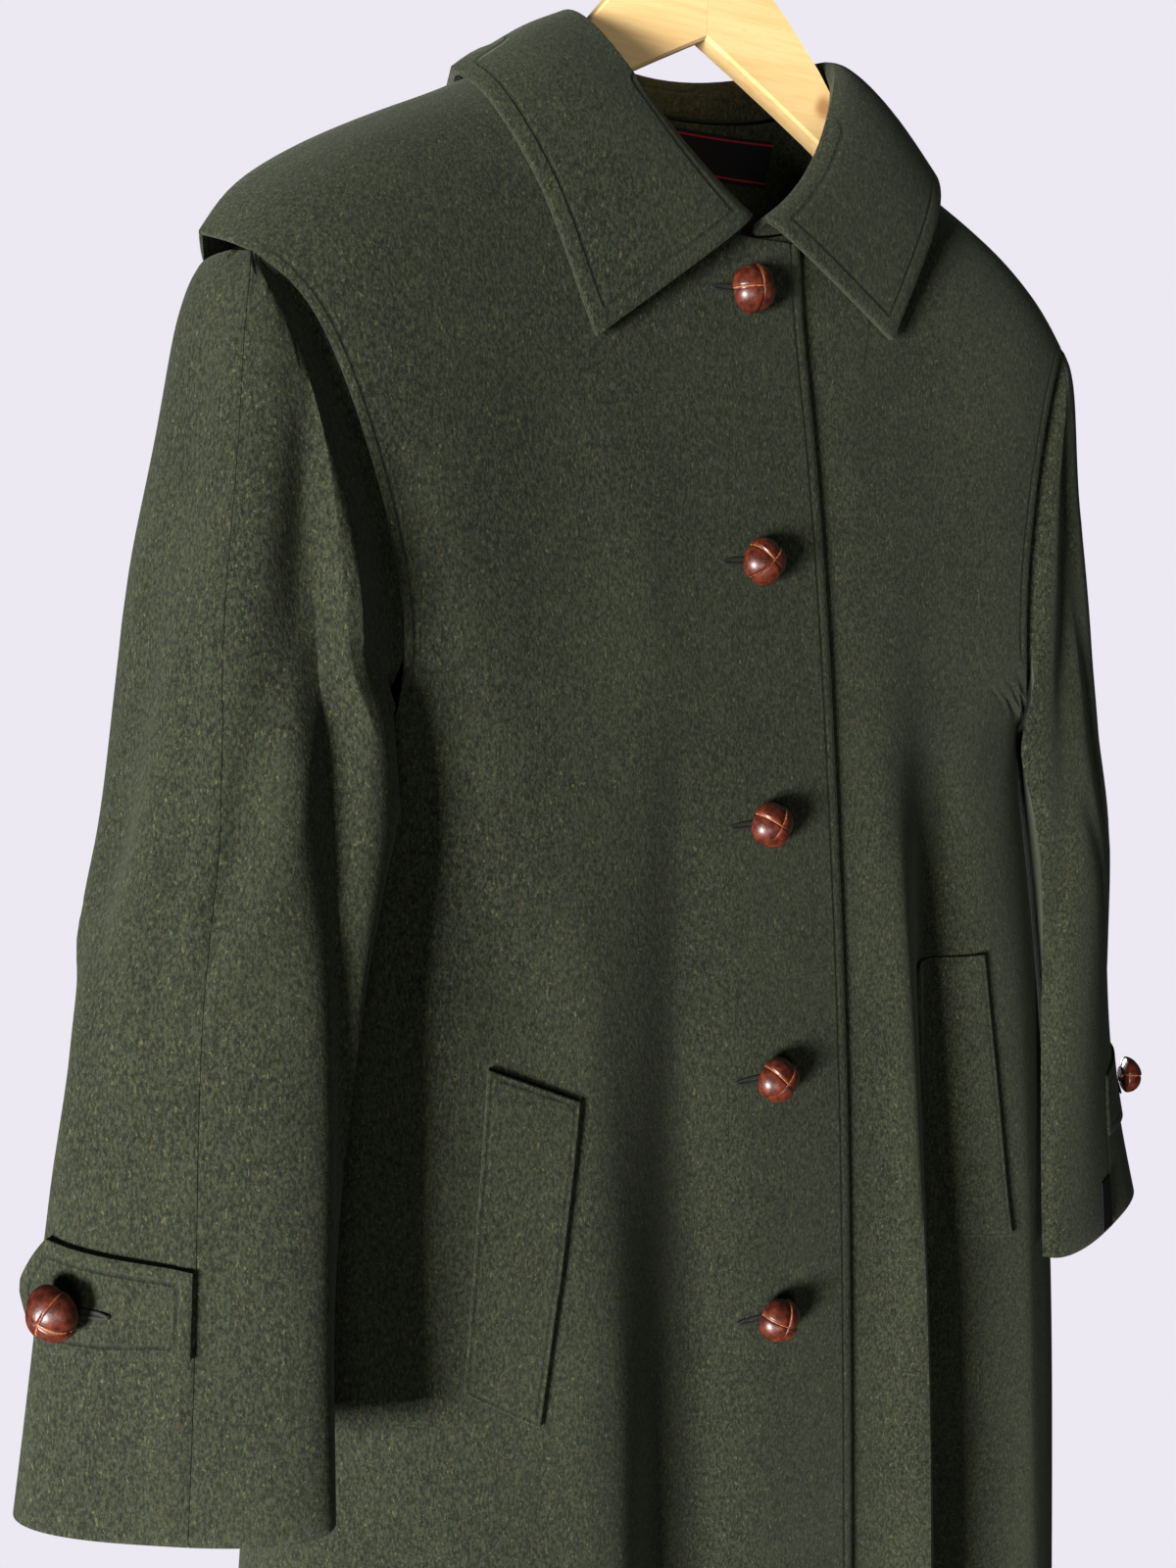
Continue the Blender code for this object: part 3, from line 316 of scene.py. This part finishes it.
# Each fold runs from one place to another, as x and z; then its half width and its height
FOLDS_RIGHT = (
    ((-0.205, -0.300), (-0.176, -0.470), 0.016, -0.0022),
    ((-0.190, -0.500), (-0.120, -0.640), 0.020, -0.0025),
    ((-0.172, -0.520), (-0.205, -0.760), 0.013, 0.0028),
    ((-0.075, -0.300), (-0.060, -0.520), 0.024, 0.0020),
    ((-0.052, -0.470), (-0.062, -1.240), 0.026, -0.0085),
    ((-0.112, -0.560), (-0.122, -1.235), 0.020, 0.0070),
    ((-0.214, -0.860), (-0.228, -1.235), 0.015, -0.0030),
)
FOLDS_LEFT = (
    ((0.110, -0.300), (0.090, -0.520), 0.018, 0.0020),
    ((0.198, -0.460), (0.150, -0.560), 0.014, -0.0022),
    ((0.092, -0.520), (0.106, -1.230), 0.010, 0.0050),
    ((0.130, -0.500), (0.150, -1.240), 0.021, -0.0230),
    ((0.202, -0.600), (0.236, -1.200), 0.017, 0.0036),
)
FOLDS_BACK = (
    ((-0.190, -0.480), (-0.110, -0.600), 0.020, -0.0028),
    ((0.196, -0.470), (0.128, -0.575), 0.016, -0.0024),
    ((-0.030, -0.250), (-0.045, -0.520), 0.026, 0.0022),
    ((0.060, -0.230), (0.040, -0.410), 0.020, -0.0018),
    ((-0.100, -0.560), (-0.128, -1.200), 0.020, 0.0034),
    ((0.018, -0.620), (0.010, -1.230), 0.017, -0.0030),
    ((0.130, -0.540), (0.166, -1.190), 0.015, 0.0028),
    ((0.222, -0.700), (0.250, -1.220), 0.018, -0.0026),
)
BOARDS = ("hanger_right", "hanger_left")
loden = loden_material("loden", 0.0052, 0.45)
front_right = dress("front_right", "coat_front_right", loden, (0.43, 1.15), 0.376, BOARDS, free_edge,
                    FOLDS_RIGHT, in_front_view, forwards)
dress("front_left", "coat_front_left", loden, (0.42, 1.15), 0.364, BOARDS, free_edge,
      FOLDS_LEFT, in_front_view, forwards)
dress("back", "coat_back", loden, (0.74, 1.15), 0.650, BOARDS, shoulder_edge,
      FOLDS_BACK, in_front_view, backwards)


# The sleeves: each a front and a back strip, sewn together along the outside and under the arm,
# wide at the top and hanging flat at the cuff. The head goes up under the shoulder panel.
SLEEVE_AXIS = {
    RIGHT: {"z": (-0.82, -0.69, -0.56, -0.48, -0.40, -0.31, -0.23),
            "x": (-0.322, -0.311, -0.292, -0.258, -0.235, -0.221, -0.218),
            "y": (-0.083, -0.076, -0.060, -0.035, -0.018, -0.011, -0.008)},
    LEFT: {"z": (-0.85, -0.71, -0.57, -0.48, -0.40, -0.31, -0.23),
           "x": (0.285, 0.284, 0.282, 0.253, 0.237, 0.223, 0.218),
           "y": (-0.077, -0.049, -0.030, -0.020, -0.010, -0.008, -0.008)},
}


def sleeve_place(side):
    """Where a point lies on a sleeve: degrees round its axis from the front, and its height."""
    axis = SLEEVE_AXIS[side]

    def from_axis(points):
        x = points[:, 0] - np.interp(points[:, 2], axis["z"], axis["x"])
        y = points[:, 1] - np.interp(points[:, 2], axis["z"], axis["y"])
        return x, y

    def place(points):
        x, y = from_axis(points)
        turn = np.arctan2(side * x, -y)
        return np.stack([turn * 0.065, points[:, 2]], axis=1)

    def way(points):
        x, y = from_axis(points)
        out = np.stack([x, y, x * 0], axis=1)
        return out / np.maximum(np.linalg.norm(out, axis=1, keepdims=True), 0.001)

    return place, way


# Each fold runs from one place to another, as the way round from the front and z
SLEEVE_FOLDS = {
    RIGHT: (
        ((0.020, -0.290), (0.030, -0.600), 0.009, -0.0040),
        ((-0.008, -0.320), (0.004, -0.560), 0.012, 0.0026),
        ((0.066, -0.330), (0.052, -0.640), 0.014, -0.0022),
        ((-0.030, -0.520), (0.030, -0.610), 0.010, -0.0028),
        ((0.012, -0.640), (0.030, -0.770), 0.012, 0.0020),
        ((0.115, -0.400), (0.100, -0.620), 0.016, -0.0028),
        ((0.150, -0.470), (0.120, -0.590), 0.011, 0.0022),
    ),
    LEFT: (
        ((0.018, -0.300), (0.026, -0.560), 0.009, -0.0030),
        ((-0.020, -0.500), (0.020, -0.620), 0.010, -0.0026),
        ((0.050, -0.360), (0.046, -0.660), 0.013, 0.0022),
        ((0.110, -0.420), (0.096, -0.640), 0.015, -0.0028),
        ((0.140, -0.500), (0.118, -0.640), 0.011, 0.0022),
    ),
}
SLEEVE_CUTS = {("front", RIGHT): ((0.17, 0.58), 0.0714), ("back", RIGHT): ((0.23, 0.58), 0.101),
               ("front", LEFT): ((0.17, 0.60), 0.0735), ("back", LEFT): ((0.22, 0.60), 0.0965)}
for side, word in ((RIGHT, "right"), (LEFT, "left")):
    place, way = sleeve_place(side)
    for strip in ("front", "back"):
        flat, area = SLEEVE_CUTS[strip, side]
        dress(f"sleeve_{word}_{strip}", f"coat_sleeve_{word}_{strip}", loden, flat, area,
              (f"coat_front_{word}", "coat_back"), None, SLEEVE_FOLDS[side], place, way)


# The collar: two layers of loden, cut in one with its stand and turned down over the neck seam,
# stitched about 9 mm inside its edge.
def collar_edge(spot):
    """The fall's outer edge, apart from the neck seam."""
    return spot.z < -0.150 or abs(spot.x) > 0.10 or spot.y > 0.045


dress("collar", "coat_collar", loden_material("collar_loden", 0.0085, 0.6), (0.52, 0.15), 0.0596,
      ("coat_front_right", "coat_front_left", "coat_back"), collar_edge)


# The welts: a strip of two layers over each slanted pocket opening, edge-stitched into the front.
WELT_SUNK = 0.0009       # how far the stitching pulls a welt into the front
welt_loden = loden_material("welt_loden", 0.0024, 0.4)
for word, area, folds in (("right", 0.0079, FOLDS_RIGHT), ("left", 0.0091, FOLDS_LEFT)):
    dress(f"welt_{word}", f"coat_welt_{word}", welt_loden, (0.052, 0.190), area, (f"coat_front_{word}",),
          lambda spot: True, folds, in_front_view, forwards, WELT_SUNK)


# The sleeve tabs: pointed, two layers, stitched 6 mm inside their edge and sewn in the outer seam.
TAB_SUNK = 0.0025        # how far a tab sinks into the napped sleeve under it
tab_loden = loden_material("tab_loden", 0.0064, 0.8)
for side, word in ((RIGHT, "right"), (LEFT, "left")):
    dress(f"tab_{word}", f"coat_tab_{word}", tab_loden, (0.093, 0.048), 0.0042,
          (f"coat_sleeve_{word}_back",), lambda spot: True, SLEEVE_FOLDS[side], *sleeve_place(side), TAB_SUNK)


# The buttons: four strips of polished red-brown leather woven over a dome. Their cut edges show
# as a pale cross, which stands straight on the top button and slanting on the others.
BUTTON_R = 0.0125
BUTTON_RISE = 0.0100
BUTTON_UNDER = 0.0036
BUTTON_SLACK = 0.955     # the bare dome's share of the radius, before its strips swell it
SHANK_R = 0.0052
SHANK_TOP_R = 0.0058
SHANK_LONG = 0.0042
LEATHER_DARK = (0.0280, 0.0045, 0.0025, 1)
LEATHER_LIGHT = (0.1200, 0.0230, 0.0090, 1)
CUT_EDGE = (0.4200, 0.1500, 0.0450, 1)


def leather_material():
    finish, tree, shader = new_material("woven_leather", 0.40)
    shader.inputs["Specular IOR Level"].default_value = 0.35
    shader.inputs["Coat Weight"].default_value = 0.25
    shader.inputs["Coat Roughness"].default_value = 0.22
    place = mapped(tree, (1, 1, 1))
    cloud = noise_of(tree, place, 260, 4, 0.6)
    colour = blended(tree, from_to(tree, cloud, 0.30, 0.75), LEATHER_DARK, LEATHER_LIGHT)
    seam = place_node(tree, "ShaderNodeAttribute", attribute_name="seam").outputs["Fac"]
    frayed = sum_of(tree, seam, sum_of(tree, noise_of(tree, place, 900, 2), -0.0006, "MULTIPLY"))
    line = from_to(tree, frayed, -0.0004, 0.0001, 1.0, 0.0)
    colour = blended(tree, line, colour, CUT_EDGE)
    tree.links.new(colour, shader.inputs["Base Color"])
    tree.links.new(from_to(tree, line, 0, 1, 0.38, 0.8), shader.inputs["Roughness"])
    bumped(tree, shader, noise_of(tree, place, 1400, 3, 0.6), 0.0002, 0.5)
    return finish


def woven_button(node, name, outward, turn, finish):
    """A dome shaped like its CAD node, with four strips that overlap one another like a pinwheel."""
    corners = np.array([vert.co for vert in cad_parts[node].data.vertices])
    centre = (corners.min(axis=0) + corners.max(axis=0)) / 2
    _, ways = np.linalg.eigh(np.cov((corners - corners.mean(axis=0)).T))
    axis = Vector(ways[:, 0])
    if axis.dot(outward) < 0:
        axis.negate()
    reach = (corners - centre) @ np.array(axis)
    mesh = bmesh.new()
    bmesh.ops.create_uvsphere(mesh, u_segments=96, v_segments=40, radius=1.0)
    seam = mesh.verts.layers.float.new("seam")
    for vert in mesh.verts:
        spread = math.hypot(vert.co.x, vert.co.y)
        angle = math.atan2(vert.co.y, vert.co.x) % (math.pi / 2)
        off = spread * math.sin(min(angle, math.pi / 2 - angle)) * BUTTON_R
        vert[seam] = off
        across_strip = angle / (math.pi / 2)
        strip = 0.0011 * (across_strip - 0.5) * min(1.0, spread * 2.2)
        pillow = 0.0006 * math.sin(math.pi * across_strip) * spread
        groove = -0.0007 * math.exp(-(off / 0.0006) ** 2)
        grow = 1 + (strip + pillow + groove) / BUTTON_R
        rise = BUTTON_RISE if vert.co.z > 0 else BUTTON_UNDER
        wide = BUTTON_R * BUTTON_SLACK
        vert.co = Vector((vert.co.x * wide, vert.co.y * wide, vert.co.z * rise)) * grow
    for face in mesh.faces:
        face.smooth = True
    spin = Matrix.Rotation(math.radians(turn), 4, "Z")
    lean = Vector((0, 0, 1)).rotation_difference(axis).to_matrix().to_4x4()
    seat = Vector(centre) + axis * (float(reach.max()) - BUTTON_RISE * 1.03)
    bmesh.ops.transform(mesh, matrix=Matrix.Translation(seat) @ lean @ spin, verts=mesh.verts)
    shank = bmesh.ops.create_cone(mesh, cap_ends=True, segments=20, radius1=SHANK_R,
                                  radius2=SHANK_TOP_R, depth=SHANK_LONG)
    low = Vector(centre) + axis * (float(reach.min()) + 0.0022)
    bmesh.ops.transform(mesh, matrix=Matrix.Translation(low) @ lean, verts=shank["verts"])
    for vert in shank["verts"]:
        vert[seam] = 0.01
    data = bpy.data.meshes.new(name)
    mesh.to_mesh(data)
    mesh.free()
    data.materials.append(finish)
    item = bpy.data.objects.new(name, data)
    bpy.context.collection.objects.link(item)
    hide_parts(node)
    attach(item, "root")
    return item


woven_leather = leather_material()
for number, turn in enumerate((2, 40, 52, 38, 58), start=1):
    woven_button(f"button_{number}", f"front_button_{number}", Vector((0, -1, 0)), turn, woven_leather)
woven_button("button_tab_right", "tab_button_right", Vector((-1, 0.2, 0)), 12, woven_leather)
woven_button("button_tab_left", "tab_button_left", Vector((1, 0.2, 0)), 34, woven_leather)


# The buttonholes: worked in thread of the cloth's colour, each a narrow slit that the button's
# shank pulls to its end nearest the front edge.
HOLE_LONG = 0.027
HOLE_WIDE = 0.0042
THREAD = (0.0012, 0.0018, 0.0010, 1)
THREAD_LIT = (0.0080, 0.0100, 0.0055, 1)


def thread_material():
    finish, tree, shader = new_material("thread", 0.8)
    place = mapped(tree, (1, 1, 1))
    twist = noise_of(tree, place, 1600, 2)
    tree.links.new(blended(tree, twist, THREAD, THREAD_LIT), shader.inputs["Base Color"])
    bumped(tree, shader, twist, 0.0004)
    return finish


def buttonhole(name, spot, normal, run, finish):
    """A worked lip round a sunken slit, laid on the cloth."""
    mesh = bmesh.new()
    bmesh.ops.create_circle(mesh, cap_ends=True, segments=40, radius=1.0)
    for vert in mesh.verts:
        long = math.copysign(abs(vert.co.x) ** 0.6, vert.co.x)
        vert.co = Vector((long * HOLE_LONG / 2, vert.co.y * HOLE_WIDE / 2, 0))
    lip = bmesh.ops.extrude_face_region(mesh, geom=list(mesh.faces))
    top = [part for part in lip["geom"] if isinstance(part, bmesh.types.BMVert)]
    bmesh.ops.translate(mesh, vec=(0, 0, 0.0009), verts=top)
    face = next(part for part in lip["geom"] if isinstance(part, bmesh.types.BMFace))
    bmesh.ops.inset_region(mesh, faces=[face], thickness=0.0008, depth=0.0003)
    bmesh.ops.inset_region(mesh, faces=[face], thickness=0.0007, depth=-0.0003)
    bmesh.ops.inset_region(mesh, faces=[face], thickness=0.0002, depth=-0.0008)
    bmesh.ops.recalc_face_normals(mesh, faces=mesh.faces)
    side_way = normal.cross(run).normalized()
    run = side_way.cross(normal)
    turn = Matrix((run, side_way, normal)).transposed().to_4x4()
    bmesh.ops.transform(mesh, matrix=Matrix.Translation(spot - normal * 0.0003) @ turn, verts=mesh.verts)
    for face in mesh.faces:
        face.smooth = True
    data = bpy.data.meshes.new(name)
    mesh.to_mesh(data)
    mesh.free()
    data.materials.append(finish)
    item = bpy.data.objects.new(name, data)
    bpy.context.collection.objects.link(item)
    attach(item, "root")
    return item


thread = thread_material()
front_tree = BVHTree.FromObject(front_right, bpy.context.evaluated_depsgraph_get())
for number in range(1, 6):
    low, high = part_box(f"button_{number}")
    middle = (Vector(low) + Vector(high)) / 2
    spot, normal, _, _ = front_tree.ray_cast(Vector((-0.0095, -1, middle.z)), Vector((0, 1, 0)))
    buttonhole(f"buttonhole_{number}", spot, normal, Vector((1, 0, 0.04)), thread)
for side, word in ((RIGHT, "right"), (LEFT, "left")):
    low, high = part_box(f"button_tab_{word}")
    middle = (Vector(low) + Vector(high)) / 2
    tab_tree = BVHTree.FromObject(bpy.data.objects[f"coat_tab_{word}"], bpy.context.evaluated_depsgraph_get())
    ahead = middle + Vector((side * 0.004, -0.0160, 0))
    spot, normal, _, _ = tab_tree.find_nearest(ahead)
    buttonhole(f"tab_buttonhole_{word}", spot, normal, Vector((-side * 0.5, -1, 0)), thread)


# The labels: woven, black, and bare; the one at the neck has a thin red border above and below.
LABEL_BLACK = (0.0030, 0.0030, 0.0035, 1)
LABEL_GREY = (0.0085, 0.0085, 0.0100, 1)
LABEL_RED = (0.2300, 0.0120, 0.0160, 1)


def label_material(name, border_z):
    finish, tree, shader = new_material(name, 0.8)
    shader.inputs["Specular IOR Level"].default_value = 0.15
    weave = noise_of(tree, mapped(tree, (1, 1, 3)), 1500, 1)
    colour = blended(tree, weave, LABEL_BLACK, LABEL_GREY)
    for z in border_z:
        height = tree.nodes.new("ShaderNodeSeparateXYZ")
        tree.links.new(mapped(tree, (1, 1, 1)), height.inputs[0])
        off = place_node(tree, "ShaderNodeMath", operation="ABSOLUTE")
        tree.links.new(sum_of(tree, height.outputs["Z"], -z), off.inputs[0])
        colour = blended(tree, from_to(tree, off.outputs[0], 0.0003, 0.0006, 1.0, 0.0), colour, LABEL_RED)
    tree.links.new(colour, shader.inputs["Base Color"])
    bumped(tree, shader, weave, 0.0003)
    return finish


low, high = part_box("neck_label")
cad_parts["neck_label"].data.materials.clear()
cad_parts["neck_label"].data.materials.append(
    label_material("neck_label_weave", (low[2] + 0.0025, high[2] - 0.0025)))
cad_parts["cuff_label"].data.materials.clear()
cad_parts["cuff_label"].data.materials.append(label_material("cuff_label_weave", ()))


# The hanger: two beech boards mitred in the middle, clear varnished, and a bright wire hook.
WOOD_LIGHT = (1.0000, 0.7100, 0.3300, 1)
WOOD_DARK = (0.8600, 0.5100, 0.1900, 1)
RESIN = (0.4300, 0.1700, 0.0500, 1)
ARM_SLOPE = math.radians(36)


def beech_material(name, side):
    finish, tree, shader = new_material(name, 0.38)
    shader.inputs["Coat Weight"].default_value = 0.5
    shader.inputs["Coat Roughness"].default_value = 0.2
    along_arm = mapped(tree, (0.06, 1, 1), turn=(0, -side * ARM_SLOPE, 0))
    grain = noise_of(tree, along_arm, 330, 5, 0.6)
    board = noise_of(tree, along_arm, 60, 2, 0.5)
    tone = sum_of(tree, sum_of(tree, from_to(tree, grain, 0.35, 0.75), 0.5, "MULTIPLY"),
                  sum_of(tree, from_to(tree, board, 0.3, 0.7), 0.35, "MULTIPLY"))
    colour = blended(tree, tone, WOOD_LIGHT, WOOD_DARK)
    flakes = noise_of(tree, mapped(tree, (0.2, 1, 1), turn=(0, -side * ARM_SLOPE, 0)), 900, 2)
    colour = blended(tree, from_to(tree, flakes, 0.62, 0.74, 0.0, 0.35), colour, WOOD_DARK)
    if side == LEFT:
        knot = place_node(tree, "ShaderNodeVectorMath", operation="DISTANCE")
        tree.links.new(mapped(tree, (1, 1, 1)), knot.inputs[0])
        knot.inputs[1].default_value = (0.080, -0.009, -0.128)
        ragged = sum_of(tree, knot.outputs["Value"], sum_of(tree, grain, 0.006, "MULTIPLY"))
        colour = blended(tree, from_to(tree, ragged, 0.005, 0.012, 0.75, 0.0), colour, RESIN)
    tree.links.new(colour, shader.inputs["Base Color"])
    bumped(tree, shader, grain, 0.0003, 0.4)
    return finish


STEEL_DARK = (0.50, 0.50, 0.49, 1)
STEEL_LIGHT = (0.72, 0.71, 0.69, 1)


def steel_material():
    finish, tree, shader = new_material("bright_wire", 0.22)
    shader.inputs["Metallic"].default_value = 1.0
    drawn = noise_of(tree, mapped(tree, (1, 1, 1)), 700, 2)
    tree.links.new(blended(tree, drawn, STEEL_DARK, STEEL_LIGHT), shader.inputs["Base Color"])
    bumped(tree, shader, drawn, 0.0001, 0.4)
    return finish


for side, word in ((RIGHT, "right"), (LEFT, "left")):
    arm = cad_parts[f"hanger_{word}"]
    arm.data.materials.clear()
    arm.data.materials.append(beech_material(f"beech_{word}", side))
hook = rounded_copy("hook", "hanger_hook", 1)
for face in hook.data.polygons:
    face.use_smooth = True
hook.data.materials.clear()
hook.data.materials.append(steel_material())
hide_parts("hook")
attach(hook, "root")


# The studio: a pale lavender ground all round, two large soft lights from the left and the front,
# and one behind the coat for its back.
GROUND = (0.840, 0.812, 0.890, 1)
AMBIENT = (0.90, 0.90, 0.96, 1)
AMBIENT_POWER = 0.05


def soft_light(name, place, target, size, power, colour):
    data = bpy.data.lights.new(name, "AREA")
    data.shape = "RECTANGLE"
    data.size, data.size_y = size
    data.energy = power
    data.color = colour
    item = bpy.data.objects.new(name, data)
    item.location = place
    item.rotation_mode = "QUATERNION"
    item.rotation_quaternion = (Vector(target) - Vector(place)).to_track_quat("-Z", "Y")
    bpy.context.collection.objects.link(item)


soft_light("light_left", (-3.50, -1.62, -1.20), (0, 0, -0.62), (1.1, 1.1), 465, (1.0, 0.98, 0.96))
soft_light("light_front", (-1.20, -2.60, -0.95), (0.0, 0, -0.60), (1.0, 1.0), 18, (1.0, 1.0, 1.0))
soft_light("light_behind", (0.90, 3.00, -0.60), (0, 0, -0.60), (1.6, 1.6), 260, (1.0, 1.0, 1.0))
world = bpy.data.worlds.new("studio")
world.use_nodes = True
tree = world.node_tree
ambient = tree.nodes["Background"]
ambient.inputs["Color"].default_value = AMBIENT
ambient.inputs["Strength"].default_value = AMBIENT_POWER
ground = place_node(tree, "ShaderNodeBackground", Color=GROUND, Strength=1.0)
seen = tree.nodes.new("ShaderNodeLightPath")
either = tree.nodes.new("ShaderNodeMixShader")
tree.links.new(seen.outputs["Is Camera Ray"], either.inputs[0])
tree.links.new(ambient.outputs[0], either.inputs[1])
tree.links.new(ground.outputs[0], either.inputs[2])
tree.links.new(either.outputs[0], tree.nodes["World Output"].inputs["Surface"])
bpy.context.scene.world = world
bpy.context.scene.view_settings.view_transform = "Standard"
